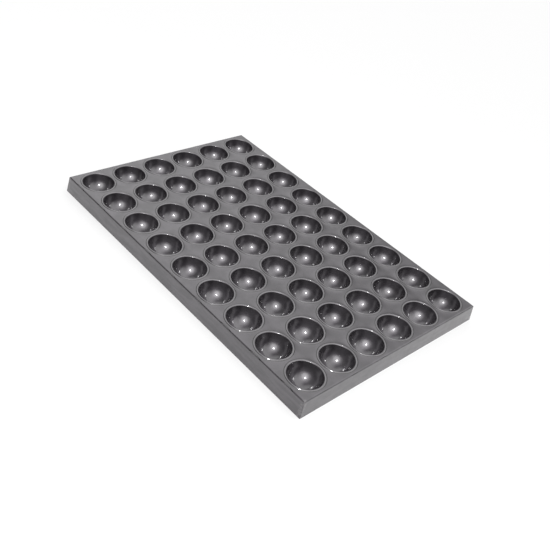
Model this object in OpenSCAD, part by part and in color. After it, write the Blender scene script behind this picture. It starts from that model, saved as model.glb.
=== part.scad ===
// Mini muffin tray for a bakery oven: one steel sheet pressed into round cups,
// its four sides folded down into a leaning skirt and welded at the corners.
// Origin at the middle of the skirt's foot; X runs along the long side, Z is up.

/* [Tray] */
// Length over the skirt's foot
tray_l = 600; // [594:1:700]
// Width over the skirt's foot
tray_w = 400; // [398:1:500]
// Height of the cooking face above the table
tray_h = 29.2; // [28.7:0.1:45]
// Thickness of the steel sheet
sheet = 1; // [0.6:0.1:1.5]
// How far each side leans out from its fold to its foot, so that trays nest
flare = 2.5; // [0.5:0.5:3]
// Outside radius of the fold between the cooking face and a side
fold_r = 2.5; // [1.8:0.1:3]

/* [Cups] */
// Cups along the long side
cups_long = 9; // [1:1:9]
// Cups along the short side
cups_wide = 6; // [1:1:6]
// Distance between cup centres along the long side
pitch_long = 65.5; // [64:0.1:66]
// Distance between cup centres along the short side
pitch_wide = 64.5; // [64:0.1:65]
// Radius at which a cup's raised ring turns down over the lip
mouth_r = 28.4; // [22:0.1:29]
// Depth of a bowl below the cooking face
bowl_depth = 27.7; // [25:0.1:27.7]
// Angle at which a bowl's straight upper wall leans away from the upright
wall_draft = 13; // [12:0.5:20]

/* [Lip] */
// Outer radius of the ring raised out of the cooking face around a cup
ring_r = 30.4; // [30:0.1:31.5]
// Height of the ring above the cooking face
ring_rise = 0.8; // [0.3:0.1:0.9]
// Width of the slope on the ring's outer side
slope_w = 0.8; // [0.6:0.1:0.9]
// Radius of the lip that rounds over from the ring into the bowl
lip_r = 1.8; // [1.6:0.1:2.4]

/* [Hidden] */
$fn = 96;

// Cuts run this far past the faces that they open
past = 5;

// The cooking face is smaller than the foot by the lean of both sides
top_l = tray_l - 2 * flare;
top_w = tray_w - 2 * flare;

// Angle between a leaning side and the upright, and the way that it faces
lean = atan(flare / tray_h);
side_normal = [cos(lean), sin(lean)];

// A cup's section is drawn with the cooking face at height 0 and the cup's axis at radius 0.
// The slope on the ring's outer side rises towards the axis.
slope_tilt = -atan(ring_rise / slope_w);
ring_foot = [ring_r, 0];
ring_top = [ring_r - slope_w, ring_rise];
mouth = [mouth_r, ring_rise];

// The lip's arc starts level at the mouth and turns into the straight wall.
// The round bottom of the bowl touches the wall all round and reaches the bowl's depth.
lip_centre = mouth - [0, lip_r];
into_wall = [cos(wall_draft), -sin(wall_draft)];
wall_top = lip_centre - lip_r * into_wall;
ball_r = ((wall_top + [0, bowl_depth]) * into_wall) / (1 - sin(wall_draft));
ball_centre = [0, ball_r - bowl_depth];

// The way that the sheet's underside faces where its top falls at an angle
function underside(tilt) = [sin(tilt), -cos(tilt)];

// From a bend in the sheet's top to the same bend a given depth down into the sheet
function bend_shift(tilt_a, tilt_b, depth) =
    depth * (underside(tilt_a) + underside(tilt_b)) / (1 + cos(tilt_a - tilt_b));

// Half of a side's outline, at a given depth into the sheet
function side_x(half_top, depth, z) = half_top + (tray_h - z) * tan(lean) - depth / cos(lean);

// Section across the tray, with its top corners rounded by the folds
module tray_section(half_top, depth, foot_z) {
    fold_centre = [half_top - fold_r * (1 - sin(lean)) / cos(lean), tray_h - fold_r];
    r = fold_r - depth;
    half_outline = [
        [side_x(half_top, depth, foot_z), foot_z],
        fold_centre + r * side_normal,
        fold_centre + [0, r]
    ];
    for (way = [0, 1])
        mirror([way, 0]) {
            polygon(concat([[0, foot_z]], half_outline, [[0, tray_h - depth]]));
            translate(fold_centre) circle(r);
        }
}

// Four leaning sides under a flat top: two crossing bars whose common part has mitred corners
module tray_block(depth, foot_z) {
    intersection() {
        rotate([90, 0, 0])
            linear_extrude(tray_w + 2 * past, center = true)
                tray_section(top_l / 2, depth, foot_z);
        rotate([90, 0, 90])
            linear_extrude(tray_l + 2 * past, center = true)
                tray_section(top_w / 2, depth, foot_z);
    }
}

// Half section of a bowl and what lies over it, at a given depth into the sheet.
// Its rim runs from the top, on the axis, to a point straight above or below the lip's centre.
module cup_section(depth, rim) {
    ball_end = ball_centre + (ball_r + depth) * into_wall;
    bowl = [lip_centre, wall_top + depth * into_wall, ball_end, [0, ball_end[1]]];
    difference() {
        polygon(concat([[0, rim[0][1]]], rim, bowl));
        translate(lip_centre) circle(lip_r - depth);
    }
    intersection() {
        translate(ball_centre) circle(ball_r + depth);
        translate([0, -tray_h - past]) square([tray_l, tray_h + past + wall_top[1]]);
    }
}

// Skin of one pressed cup with its ring, filled up to the ring's top
module cup_body() {
    rotate_extrude()
        cup_section(sheet, [
            ring_top,
            ring_foot + sheet / 2 * [1, -ring_rise / slope_w],
            ring_foot + [sheet / 2, -sheet],
            ring_foot + bend_shift(0, slope_tilt, sheet),
            ring_top + bend_shift(slope_tilt, 0, sheet),
            mouth - [0, sheet]
        ]);
}

// Hole in the flat sheet that a cup's skin fills, with its edge inside the foot of the ring
module ring_hole() {
    hole_r = ring_r + bend_shift(0, slope_tilt, sheet)[0] / 2;
    translate([0, 0, -past]) cylinder(h = 2 * past, r = hole_r);
}

// Space that the sheet leaves open in one cup
module cup_hollow() {
    rotate_extrude() cup_section(0, [[mouth_r, past]]);
}

module at_cups() {
    for (i = [0 : cups_long - 1], j = [0 : cups_wide - 1])
        translate([
            (i - (cups_long - 1) / 2) * pitch_long,
            (j - (cups_wide - 1) / 2) * pitch_wide,
            tray_h
        ])
            children();
}

module muffin_pan() {
    color("dimgray")
        difference() {
            union() {
                difference() {
                    tray_block(0, 0);
                    tray_block(sheet, -past);
                    at_cups() ring_hole();
                }
                at_cups() cup_body();
            }
            at_cups() cup_hollow();
        }
}

muffin_pan();
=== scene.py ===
"""Mini muffin tray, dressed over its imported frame.

One pressed sheet with a dark non-stick coating, in a white studio.
"""
import math
import bpy
from mathutils import Matrix, Vector


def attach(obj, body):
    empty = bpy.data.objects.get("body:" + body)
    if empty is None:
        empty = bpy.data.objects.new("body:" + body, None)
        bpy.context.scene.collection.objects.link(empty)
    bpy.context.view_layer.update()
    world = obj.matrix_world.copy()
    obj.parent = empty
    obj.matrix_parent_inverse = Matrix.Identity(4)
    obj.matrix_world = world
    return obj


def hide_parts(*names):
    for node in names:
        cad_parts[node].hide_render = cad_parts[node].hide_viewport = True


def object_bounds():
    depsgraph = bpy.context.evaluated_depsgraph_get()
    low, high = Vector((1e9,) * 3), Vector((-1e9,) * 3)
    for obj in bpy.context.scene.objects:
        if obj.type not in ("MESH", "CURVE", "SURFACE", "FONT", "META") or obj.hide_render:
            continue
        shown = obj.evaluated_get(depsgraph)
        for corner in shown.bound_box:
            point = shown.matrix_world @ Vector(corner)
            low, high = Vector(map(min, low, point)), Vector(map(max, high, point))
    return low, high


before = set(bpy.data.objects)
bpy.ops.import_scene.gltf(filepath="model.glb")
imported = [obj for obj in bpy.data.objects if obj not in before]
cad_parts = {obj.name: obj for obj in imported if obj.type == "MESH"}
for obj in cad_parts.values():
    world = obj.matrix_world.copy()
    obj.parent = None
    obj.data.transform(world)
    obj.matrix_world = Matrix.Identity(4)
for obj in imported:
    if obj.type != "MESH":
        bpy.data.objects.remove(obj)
cad_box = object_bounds()
MM = 0.001

# ---------------------------------------------------------------- the tray's sizes

# In millimetres, with the same values as the CAD source
LOW, HIGH = (Vector(corner) / MM for corner in cad_box)
TRAY_L, TRAY_W, RING_TOP = HIGH - LOW
SHEET = 1.0
FLARE = 2.5
FOLD_R = 2.5
CUPS_LONG, CUPS_WIDE = 9, 6
PITCH_LONG, PITCH_WIDE = 65.5, 64.5
MOUTH_R = 28.4
BOWL_DEPTH = 27.7
WALL_DRAFT = math.radians(13)
RING_R = 30.4
RING_RISE = 0.8
SLOPE_W = 0.8
LIP_R = 1.8
TRAY_H = RING_TOP - RING_RISE

# What the CAD source leaves sharp: the crease at a ring's foot, the edge on top of its slope, and the
# tray's upright corners
CREASE_R = 0.4
BEAD_R = 1.0
CORNER_R = 1.2
LEAST_CORNER_R = 0.1

# The flat web starts a little outside the ring's foot
WEB_R = RING_R + 1.0

# The sheet sinks a little between the cups that stretch it, but not along the folds, which keep it stiff
WEB_DIP = 0.55
DIP_REACH = 9.0
STIFF_EDGE = PITCH_WIDE / 2

FIELD_HALF_L = CUPS_LONG * PITCH_LONG / 2
FIELD_HALF_W = CUPS_WIDE * PITCH_WIDE / 2
TOP_HALF_L = TRAY_L / 2 - FLARE
TOP_HALF_W = TRAY_W / 2 - FLARE
LEAN = math.atan(FLARE / TRAY_H)
CUP_CENTRES = [
    ((i - (CUPS_LONG - 1) / 2) * PITCH_LONG, (j - (CUPS_WIDE - 1) / 2) * PITCH_WIDE)
    for i in range(CUPS_LONG)
    for j in range(CUPS_WIDE)
]

# How deep in the sheet each face lies, and how finely it is meshed
FACE_DEPTHS = {"top": 0, "under": SHEET}
WEB_SHARES = {"top": (1, 0.55, 0.25), "under": (1,)}
BEND_STEPS = {"top": 2, "under": 0}
LIP_STEPS = {"top": 6, "under": 3}
BALL_STEPS = {"top": 9, "under": 5}
FOLD_STEPS = {"top": 6, "under": 3}
CORNER_STEPS = 4
AROUND = 48
QUARTER = AROUND // 4
CUP_TURNS = [2 * math.pi * k / AROUND for k in range(AROUND)]

# Points whose millimetres agree to this many decimals are one vertex
WELD_DECIMALS = 4


# ---------------------------------------------------------------- outlines


def arc(centre, radius, start, end, steps):
    """Points on an arc, both ends included, with angles in radians."""
    angles = [start + (end - start) * k / steps for k in range(steps + 1)]
    return [Vector((centre[0] + radius * math.cos(a), centre[1] + radius * math.sin(a))) for a in angles]


def softened(before, bend, after, radius, steps):
    """The bend of a polyline, rounded to about a radius, or as it is where there are no steps."""
    if steps == 0:
        return [bend]
    a, b = (before - bend).normalized(), (after - bend).normalized()
    half = a.angle(b) / 2
    reach = radius / math.tan(half)
    start, end = bend + a * reach, bend + b * reach
    return [
        start * (1 - t) ** 2 + bend * 2 * t * (1 - t) + end * t**2
        for t in (k / steps for k in range(steps + 1))
    ]


def underside(tilt):
    """The way into the sheet from a face that is tilted out of the level."""
    return Vector((math.sin(tilt), -math.cos(tilt)))


def cup_profile(depth, face):
    """(radius, height over the cooking face) from a cup's web to its middle, at a depth in the sheet."""
    slope_tilt = -math.atan(RING_RISE / SLOPE_W)

    def moved(point, tilt_a, tilt_b):
        way = underside(tilt_a) + underside(tilt_b)
        return point + way * depth / (1 + math.cos(tilt_a - tilt_b))

    mouth = Vector((MOUTH_R, RING_RISE))
    lip_centre = mouth - Vector((0, LIP_R))
    into_wall = Vector((math.cos(WALL_DRAFT), -math.sin(WALL_DRAFT)))
    wall_top = lip_centre - LIP_R * into_wall
    ball_r = (wall_top + Vector((0, BOWL_DEPTH))).dot(into_wall) / (1 - math.sin(WALL_DRAFT))
    ball_z = ball_r - BOWL_DEPTH

    web = Vector((WEB_R, -depth))
    ring_foot = moved(Vector((RING_R, 0)), 0, slope_tilt)
    ring_top = moved(Vector((RING_R - SLOPE_W, RING_RISE)), slope_tilt, 0)
    points = softened(web, ring_foot, ring_top, CREASE_R, BEND_STEPS[face])
    points += softened(ring_foot, ring_top, mouth - Vector((0, depth)), BEAD_R, BEND_STEPS[face])
    points += arc(lip_centre, LIP_R - depth, math.pi / 2, math.pi - WALL_DRAFT, LIP_STEPS[face])
    points += arc((0, ball_z), ball_r + depth, -WALL_DRAFT, -math.pi / 2, BALL_STEPS[face])
    return points


# ---------------------------------------------------------------- the mesh


class Sheet:
    """Vertices and faces in millimetres, where points that coincide are one vertex."""

    def __init__(self):
        self.places = {}
        self.points = []
        self.faces = []

    def point(self, x, y, z):
        key = tuple(round(value, WELD_DECIMALS) for value in (x, y, z))
        if key not in self.places:
            self.places[key] = len(self.points)
            self.points.append((x * MM, y * MM, z * MM))
        return self.places[key]

    def face(self, corners, flip):
        loop = [c for k, c in enumerate(corners) if c != corners[k - 1]]
        if len(loop) > 2:
            self.faces.append(loop[::-1] if flip else loop)

    def bridge(self, outer, inner, flip=False):
        """Faces between two closed loops with as many points. They face up where both run anticlockwise."""
        for k in range(len(outer)):
            self.face([outer[k - 1], outer[k], inner[k], inner[k - 1]], flip)


def soft_step(value, low, high):
    t = min(max((value - low) / (high - low), 0), 1)
    return t * t * (3 - 2 * t)


def web_height(x, y):
    """The height, zero or less, to which the cooking face has sunk at a place between the cups."""
    sunk = soft_step(FIELD_HALF_L - abs(x), 0, STIFF_EDGE)
    sunk *= soft_step(FIELD_HALF_W - abs(y), 0, STIFF_EDGE)
    for cup_x, cup_y in CUP_CENTRES:
        closeness = 1 - (math.hypot(x - cup_x, y - cup_y) - RING_R) / DIP_REACH
        sunk *= 1 - min(max(closeness, 0), 1) ** 2
    return -WEB_DIP * sunk


def along_side(k):
    """Where the k-th point of a quarter lies on its side of a cell, from -1 up to 1."""
    return math.tan((k / QUARTER - 0.5) * math.pi / 2)


def cell_loop(centre, z, share, sheet):
    """A loop between the edge of a cup's cell (share 1), common to its neighbours, and its ring (share 0)."""
    loop = []
    for k, turn in enumerate(CUP_TURNS):
        side, step = divmod(k + QUARTER // 2, QUARTER)
        slope = along_side(step)
        x, y = [(1, slope), (-slope, 1), (-1, -slope), (slope, -1)][side % 4]
        edge = Vector((x * PITCH_LONG / 2, y * PITCH_WIDE / 2))
        web = WEB_R * Vector((math.cos(turn), math.sin(turn)))
        place = Vector(centre) + (edge * share + web * (1 - share))
        loop.append(sheet.point(place.x, place.y, z + web_height(place.x, place.y)))
    return loop


def press_cups(sheet, face):
    depth = FACE_DEPTHS[face]
    profile = cup_profile(depth, face)
    for x, y in CUP_CENTRES:
        loops = [cell_loop((x, y), TRAY_H - depth, share, sheet) for share in WEB_SHARES[face]]
        for r, z in profile:
            circle = [(x + r * math.cos(turn), y + r * math.sin(turn)) for turn in CUP_TURNS]
            loops.append([sheet.point(*place, TRAY_H + z) for place in circle])
        for outer, inner in zip(loops, loops[1:]):
            sheet.bridge(outer, inner, flip=face == "under")


def edge_places(cups, pitch):
    """Where the cells' points lie along one side of the cup field, without its corners."""
    middles = [c - (cups - 1) / 2 for c in range(cups)]
    places = [(middle + along_side(k) / 2) * pitch for middle in middles for k in range(QUARTER)]
    return places[1:]


def level_loop(sheet, half_x, half_y, z, corner):
    """A loop around the tray whose points follow those on the edge of the cup field."""
    xs = edge_places(CUPS_LONG, PITCH_LONG)
    ys = edge_places(CUPS_WIDE, PITCH_WIDE)
    sides = [
        ([(half_x, y) for y in ys], (1, 1)),
        ([(-x, half_y) for x in xs], (-1, 1)),
        ([(-half_x, -y) for y in ys], (-1, -1)),
        ([(x, -half_y) for x in xs], (1, -1)),
    ]
    loop = []
    for turn, (places, (sx, sy)) in enumerate(sides):
        loop += [sheet.point(x, y, z) for x, y in places]
        middle = (sx * (half_x - corner), sy * (half_y - corner))
        for p in arc(middle, corner, turn * math.pi / 2, (turn + 1) * math.pi / 2, CORNER_STEPS):
            loop.append(sheet.point(p.x, p.y, z))
    return loop


def fold_sides(sheet, face):
    """The rim around the cup field, the fold and the skirt. Gives the loop of the foot."""
    depth = FACE_DEPTHS[face]
    corner = max(CORNER_R - depth, LEAST_CORNER_R)
    steps = FOLD_STEPS[face]
    fold_middle = (-FOLD_R * (1 - math.sin(LEAN)) / math.cos(LEAN), TRAY_H - FOLD_R)
    foot = TRAY_H * math.tan(LEAN) - depth / math.cos(LEAN)

    loops = [level_loop(sheet, FIELD_HALF_L, FIELD_HALF_W, TRAY_H - depth, 0)]
    for k, p in enumerate(arc(fold_middle, FOLD_R - depth, math.pi / 2, LEAN, steps)):
        loops.append(level_loop(sheet, TOP_HALF_L + p.x, TOP_HALF_W + p.x, p.y, corner * (k / steps)))
    loops.append(level_loop(sheet, TOP_HALF_L + foot, TOP_HALF_W + foot, 0, corner))
    for inner, outer in zip(loops, loops[1:]):
        sheet.bridge(outer, inner, flip=face == "under")
    return loops[-1]


def pressed_tray():
    sheet = Sheet()
    feet = []
    for face in FACE_DEPTHS:
        press_cups(sheet, face)
        feet.append(fold_sides(sheet, face))
    outer_foot, inner_foot = feet
    sheet.bridge(inner_foot, outer_foot)

    mesh = bpy.data.meshes.new("tray")
    mesh.from_pydata(sheet.points, [], sheet.faces)
    mesh.validate()
    mesh.shade_smooth()
    tray = bpy.data.objects.new("pressed_tray", mesh)
    bpy.context.scene.collection.objects.link(tray)

    # the cut edge at the foot stays sharp
    at_foot = set(outer_foot) | set(inner_foot)
    sharp = mesh.attributes.new("sharp_edge", "BOOLEAN", "EDGE")
    for edge in mesh.edges:
        sharp.data[edge.index].value = set(edge.vertices) <= at_foot
    shading = tray.modifiers.new("even_shading", "WEIGHTED_NORMAL")
    shading.keep_sharp = True
    return tray


# ---------------------------------------------------------------- nodes


class Nodes:
    """Short calls that add nodes to one tree. A value is a number, a colour or another node's output."""

    def __init__(self, owner):
        owner.use_nodes = True
        self.tree = owner.node_tree

    def add(self, kind, **settings):
        node = self.tree.nodes.new("ShaderNode" + kind)
        for name, value in settings.items():
            setattr(node, name, value)
        return node

    def feed(self, socket, value):
        if isinstance(value, bpy.types.NodeSocket):
            self.tree.links.new(value, socket)
        else:
            socket.default_value = value

    def math(self, operation, *values, clamp=False):
        node = self.add("Math", operation=operation, use_clamp=clamp)
        for socket, value in zip(node.inputs, values):
            self.feed(socket, value)
        return node.outputs[0]

    def along(self, vector, way):
        """How far a vector reaches in a fixed direction."""
        node = self.add("VectorMath", operation="DOT_PRODUCT")
        self.feed(node.inputs[0], vector)
        node.inputs[1].default_value = way
        return node.outputs["Value"]

    def ramp(self, value, low, high, first=0, last=1, shape="LINEAR"):
        """From first, where the value is low, to last, where it is high. High may be the smaller one."""
        node = self.add("MapRange", interpolation_type=shape)
        self.feed(node.inputs["Value"], value)
        node.inputs["From Min"].default_value = low
        node.inputs["From Max"].default_value = high
        node.inputs["To Min"].default_value = first
        node.inputs["To Max"].default_value = last
        return node.outputs["Result"]

    def step(self, value, low, high):
        """A soft step from 0 at low to 1 at high."""
        return self.ramp(value, low, high, shape="SMOOTHSTEP")

    def cloud(self, place, size, detail, stretch=(1, 1, 1)):
        """Noise around 0.5 with blobs of a size in millimetres, longer where an axis has a stretch over 1."""
        scaled = self.add("VectorMath", operation="DIVIDE")
        self.feed(scaled.inputs[0], place)
        scaled.inputs[1].default_value = [size * MM * times for times in stretch]
        noise = self.add("TexNoise")
        self.feed(noise.inputs["Vector"], scaled.outputs[0])
        noise.inputs["Scale"].default_value = 1
        noise.inputs["Detail"].default_value = detail
        return noise.outputs["Fac"]

    def blend(self, share, first, second):
        """The first colour at share 0 and the second at share 1."""
        node = self.add("Mix", data_type="RGBA")
        # a colour mix has its factor in socket 0, its colours in 6 and 7 and its result in output 2
        for socket, value in zip((0, 6, 7), (share, first, second)):
            self.feed(node.inputs[socket], value)
        return node.outputs[2]


# ---------------------------------------------------------------- coated steel

# The non-stick coating, with painted highlight as a lighter band on the rings and painted shade as a dark
# line at their feet, ground at the welded corners
COAT_DARK = (0.062, 0.056, 0.064, 1)
COAT_LIGHT = (0.094, 0.086, 0.097, 1)
# Painted highlight: a lighter band on each cup's lip and ring slope
RING_HIGHLIGHT_PAINT = (0.21, 0.20, 0.212, 1)
# Painted shade: a dark line in the crease at each ring's foot
RING_FOOT_SHADE_PAINT = (0.03, 0.028, 0.03, 1)
GROUND = (0.26, 0.25, 0.26, 1)
RING_HIGHLIGHT_SHARE = 0.45
RING_FOOT_SHADE_SHARE = 1.0
GROUND_SHARE = 0.35

# A soft metallic base under a clear gloss
COAT_METAL = 1.0
ROUGH_LOW, ROUGH_HIGH = 0.42, 0.52
GLOSS_WEIGHT = 1.0
GLOSS_ROUGHNESS = 0.09
GLOSS_IOR = 1.8

# Where the marks lie, in millimetres: radii around a cup, and the heights between which its rim sets in
# Radii of the painted highlight band on the lip and the ring's slope
RING_HIGHLIGHT_BAND = (MOUTH_R - 1.4, RING_R - 0.5)
# Radii of the painted shade line in the crease at the ring's foot
RING_FOOT_SHADE_BAND = (RING_R - 0.5, RING_R + 0.7)
BAND_BLUR = 0.3
RIM_STARTS, RIM_FULL = TRAY_H - 2, TRAY_H - 1
# The same for the skirt and the corners: reaches inward from the outline of the tray's top
SKIRT_STARTS, SKIRT_FULL = 1, 0
GROUND_STARTS, GROUND_FULL = 7, 3

# Clouds: width of a blob in millimetres, detail, and the noise levels at which they start and are full
TONE_CLOUD = (30, 3, 0.35, 0.65)
SMUDGE_CLOUD = (7, 3, 0.35, 0.7)
SMUDGE_STRETCH = (5, 5, 1)
# Clouds that break up the painted highlight on the rings
RING_HIGHLIGHT_CLOUD = (8, 3, 0.1, 0.5)
# Clouds that break up the painted shade at the rings' feet
RING_FOOT_SHADE_CLOUD = (14, 3, 0.1, 0.4)
GROUND_CLOUD = (3, 3, 0.42, 0.6)
ROUGH_CLOUD = (12, 2, 0.3, 0.7)

# Waves left by the press and the grain of the coating: width of a blob, detail, depth in millimetres
WAVES = (9, 1, 0.005)
GRAIN = (1.1, 2, 0.0012)


def patches(nodes, place, cloud, stretch=(1, 1, 1)):
    """A cloud as a mask with soft edges."""
    size, detail, starts, full = cloud
    return nodes.step(nodes.cloud(place, size, detail, stretch), starts, full)


def from_cup_axis(nodes, x, y):
    """The distance in millimetres from the axis of the nearest cup."""

    def past_middle(value, pitch, cups):
        cell = nodes.math("MULTIPLY_ADD", value, 1 / (pitch * MM), 0 if cups % 2 else 0.5)
        return nodes.math("MULTIPLY", nodes.math("SUBTRACT", cell, nodes.math("ROUND", cell)), pitch)

    squares = [
        nodes.math("POWER", past_middle(x, PITCH_LONG, CUPS_LONG), 2),
        nodes.math("POWER", past_middle(y, PITCH_WIDE, CUPS_WIDE), 2),
    ]
    return nodes.math("SQRT", nodes.math("ADD", *squares))


def ring_band(nodes, reach, inner, outer):
    """A mask between two radii around every cup."""
    inside = nodes.step(reach, inner - BAND_BLUR, inner + BAND_BLUR)
    outside = nodes.step(reach, outer + BAND_BLUR, outer - BAND_BLUR)
    return nodes.math("MULTIPLY", inside, outside)


def near_outline(nodes, x, y, starts, full, join):
    """A mask that sets in at one reach inward from the tray's outline on top and is full at another."""
    masks = [
        nodes.step(nodes.math("ABSOLUTE", value), (half - starts) * MM, (half - full) * MM)
        for value, half in ((x, TOP_HALF_L), (y, TOP_HALF_W))
    ]
    return nodes.math(join, *masks)


def coat_colour(nodes, place):
    split = nodes.add("SeparateXYZ")
    nodes.feed(split.inputs[0], place)
    x, y, z = split.outputs

    # clouds all over, but on the skirt faint smudges along its length
    on_skirt = near_outline(nodes, x, y, SKIRT_STARTS, SKIRT_FULL, join="MAXIMUM")
    clouds = patches(nodes, place, TONE_CLOUD)
    smudges = patches(nodes, place, SMUDGE_CLOUD, SMUDGE_STRETCH)
    tone = nodes.math("MULTIPLY_ADD", nodes.math("SUBTRACT", smudges, clouds), on_skirt, clouds)
    colour = nodes.blend(tone, COAT_DARK, COAT_LIGHT)

    # the rings, their feet and the corners, each mark broken up by its cloud
    reach = from_cup_axis(nodes, x, y)
    on_top = nodes.step(z, RIM_STARTS * MM, RIM_FULL * MM)
    # painted highlight: a lighter band on the lips and ring slopes, near the top
    on_ring = nodes.math("MULTIPLY", ring_band(nodes, reach, *RING_HIGHLIGHT_BAND), on_top)
    # painted shade: a dark line in the crease at each ring's foot
    at_foot = nodes.math("MULTIPLY", ring_band(nodes, reach, *RING_FOOT_SHADE_BAND), on_top)
    at_corner = near_outline(nodes, x, y, GROUND_STARTS, GROUND_FULL, join="MULTIPLY")
    for mask, share, cloud, mark in (
        (on_ring, RING_HIGHLIGHT_SHARE, RING_HIGHLIGHT_CLOUD, RING_HIGHLIGHT_PAINT),
        (at_foot, RING_FOOT_SHADE_SHARE, RING_FOOT_SHADE_CLOUD, RING_FOOT_SHADE_PAINT),
        (at_corner, GROUND_SHARE, GROUND_CLOUD, GROUND),
    ):
        most = nodes.math("MULTIPLY", mask, share)
        colour = nodes.blend(nodes.math("MULTIPLY", most, patches(nodes, place, cloud)), colour, mark)
    return colour


def coat_bump(nodes, place):
    grain_size, grain_detail, grain_depth = GRAIN
    wave_size, wave_detail, wave_depth = WAVES
    grain = nodes.math("MULTIPLY", nodes.cloud(place, grain_size, grain_detail), grain_depth)
    waves = nodes.cloud(place, wave_size, wave_detail)
    bump = nodes.add("Bump")
    nodes.feed(bump.inputs["Height"], nodes.math("MULTIPLY_ADD", waves, wave_depth, grain))
    bump.inputs["Distance"].default_value = MM
    return bump.outputs["Normal"]


def coated_steel():
    material = bpy.data.materials.new("coated_steel")
    nodes = Nodes(material)
    shader = material.node_tree.nodes["Principled BSDF"]
    place = nodes.add("TexCoord").outputs["Object"]
    nodes.feed(shader.inputs["Base Color"], coat_colour(nodes, place))

    size, detail, low, high = ROUGH_CLOUD
    rough = nodes.ramp(nodes.cloud(place, size, detail), low, high, ROUGH_LOW, ROUGH_HIGH)
    nodes.feed(shader.inputs["Roughness"], rough)
    shader.inputs["Metallic"].default_value = COAT_METAL
    shader.inputs["Coat Weight"].default_value = GLOSS_WEIGHT
    shader.inputs["Coat Roughness"].default_value = GLOSS_ROUGHNESS
    shader.inputs["Coat IOR"].default_value = GLOSS_IOR

    bump = coat_bump(nodes, place)
    nodes.feed(shader.inputs["Normal"], bump)
    nodes.feed(shader.inputs["Coat Normal"], bump)
    return material


# ---------------------------------------------------------------- studio

# The key lamp, a disk: azimuth and elevation in degrees as seen from the tray, metres, radiance
KEY_WAY = (-56, 46)
KEY_DISTANCE = 1.68
KEY_SIZE = 0.18
KEY_RADIANCE = 90

# Soft panels of the room's light: azimuth and elevation of the middle, degrees from there to the end of the
# glow, and brightness in the middle
PANELS = {
    "ceiling": ((55, 50), 55, 1.3),
    "far_wall": ((158, 42), 40, 1.15),
    "key_glow": (KEY_WAY, 48, 1.15),
    "key_halo": (KEY_WAY, 28, 1.8),
}
# The room's brightness beside the panels
ROOM_DARK = 0.3
# The room is dark at the horizon and at full strength above it: sines of the two elevations
HORIZON_FADE = (0.0, 0.5)

# The floor is light grey and glows a little for the camera and in mirrors, which adds up to white
FLOOR_LIT = 0.4
FLOOR_GLOW = 0.5
FLOOR_HALF = 4.0
WHITE = (1, 1, 1, 1)


def sky_point(way, distance=1):
    """A place seen from the tray at an azimuth, from +X toward +Y, and an elevation, in degrees."""
    azimuth, elevation = (math.radians(angle) for angle in way)
    flat = math.cos(elevation)
    return Vector((math.cos(azimuth) * flat, math.sin(azimuth) * flat, math.sin(elevation))) * distance


def key_lamp():
    data = bpy.data.lights.new("key_lamp", "AREA")
    data.shape = "DISK"
    data.size = KEY_SIZE
    # an area lamp's watts give this radiance over its face
    data.energy = KEY_RADIANCE * math.pi * math.pi * (KEY_SIZE / 2) ** 2
    lamp = bpy.data.objects.new("key_lamp", data)
    bpy.context.scene.collection.objects.link(lamp)
    lamp.location = sky_point(KEY_WAY, KEY_DISTANCE)
    lamp.rotation_euler = (-lamp.location).to_track_quat("-Z", "Y").to_euler()
    lamp.visible_camera = False


def studio():
    """A dark room with soft bright panels, white only where the camera sees it."""
    scene = bpy.context.scene
    scene.view_settings.view_transform = "Standard"
    world = bpy.data.worlds.new("studio")
    nodes = Nodes(world)
    background = world.node_tree.nodes["Background"]
    way = nodes.add("TexCoord").outputs["Generated"]
    level = ROOM_DARK
    for middle, reach, brightness in PANELS.values():
        glow = nodes.step(nodes.along(way, sky_point(middle)), math.cos(math.radians(reach)), 1)
        level = nodes.math("MULTIPLY_ADD", glow, brightness, level)
    level = nodes.math("MULTIPLY", level, nodes.step(nodes.along(way, (0, 0, 1)), *HORIZON_FADE))
    seen = nodes.add("LightPath").outputs["Is Camera Ray"]
    up_to_white = nodes.math("SUBTRACT", 1, level)
    nodes.feed(background.inputs["Strength"], nodes.math("MULTIPLY_ADD", up_to_white, seen, level))
    background.inputs["Color"].default_value = WHITE
    scene.world = world


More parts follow.
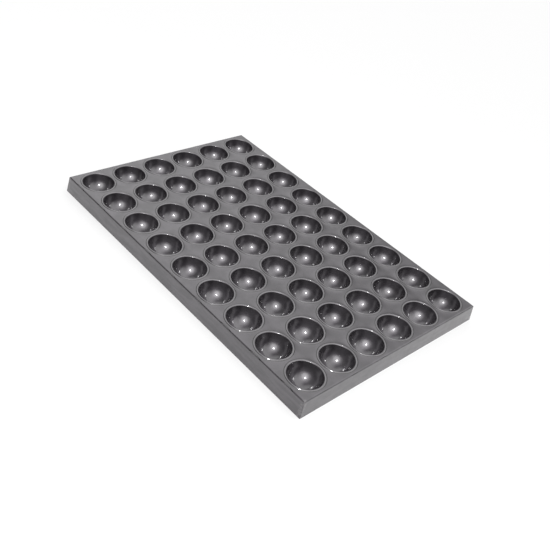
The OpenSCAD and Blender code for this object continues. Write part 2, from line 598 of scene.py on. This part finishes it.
def floor():
    """A floor that looks white and keeps the tray's soft shadow."""
    mesh = bpy.data.meshes.new("floor")
    corners = [(sx * FLOOR_HALF, sy * FLOOR_HALF, 0) for sx, sy in ((-1, -1), (1, -1), (1, 1), (-1, 1))]
    mesh.from_pydata(corners, [], [(0, 1, 2, 3)])
    plane = bpy.data.objects.new("floor", mesh)
    bpy.context.scene.collection.objects.link(plane)
    material = bpy.data.materials.new("white_floor")
    nodes = Nodes(material)
    shader = material.node_tree.nodes["Principled BSDF"]
    shader.inputs["Base Color"].default_value = (FLOOR_LIT, FLOOR_LIT, FLOOR_LIT, 1)
    shader.inputs["Specular IOR Level"].default_value = 0.0
    shader.inputs["Emission Color"].default_value = WHITE
    path = nodes.add("LightPath")
    seen = nodes.math("ADD", path.outputs["Is Camera Ray"], path.outputs["Is Glossy Ray"])
    seen = nodes.math("ADD", seen, path.outputs["Is Transmission Ray"], clamp=True)
    nodes.feed(shader.inputs["Emission Strength"], nodes.math("MULTIPLY", seen, FLOOR_GLOW))
    plane.data.materials.append(material)


# ---------------------------------------------------------------- camera

# Fitted to the outline and the 54 cups in the photo: in millimetres, with the roll in degrees
SENSOR = 36
LENS = 49.61
SHIFT_X, SHIFT_Y = 0.036, -0.027
STAND = (671.6, -799.2, 753.3)
AIM = (21.9, -40.3, 15)
ROLL = 13.71


def camera():
    data = bpy.data.cameras.new("camera")
    data.sensor_width = SENSOR
    data.lens = LENS
    data.shift_x = SHIFT_X
    data.shift_y = SHIFT_Y
    place = bpy.data.objects.new("camera", data)
    bpy.context.scene.collection.objects.link(place)
    stand = Vector(STAND) * MM
    look = (Vector(AIM) * MM - stand).to_track_quat("-Z", "Y").to_matrix()
    roll = Matrix.Rotation(math.radians(ROLL), 3, "Z")
    place.matrix_world = Matrix.Translation(stand) @ (look @ roll).to_4x4()
    bpy.context.scene.camera = place


# ---------------------------------------------------------------- the scene

tray = pressed_tray()
tray.data.materials.append(coated_steel())
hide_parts("muffin_pan")
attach(tray, "root")
studio()
key_lamp()
floor()
camera()
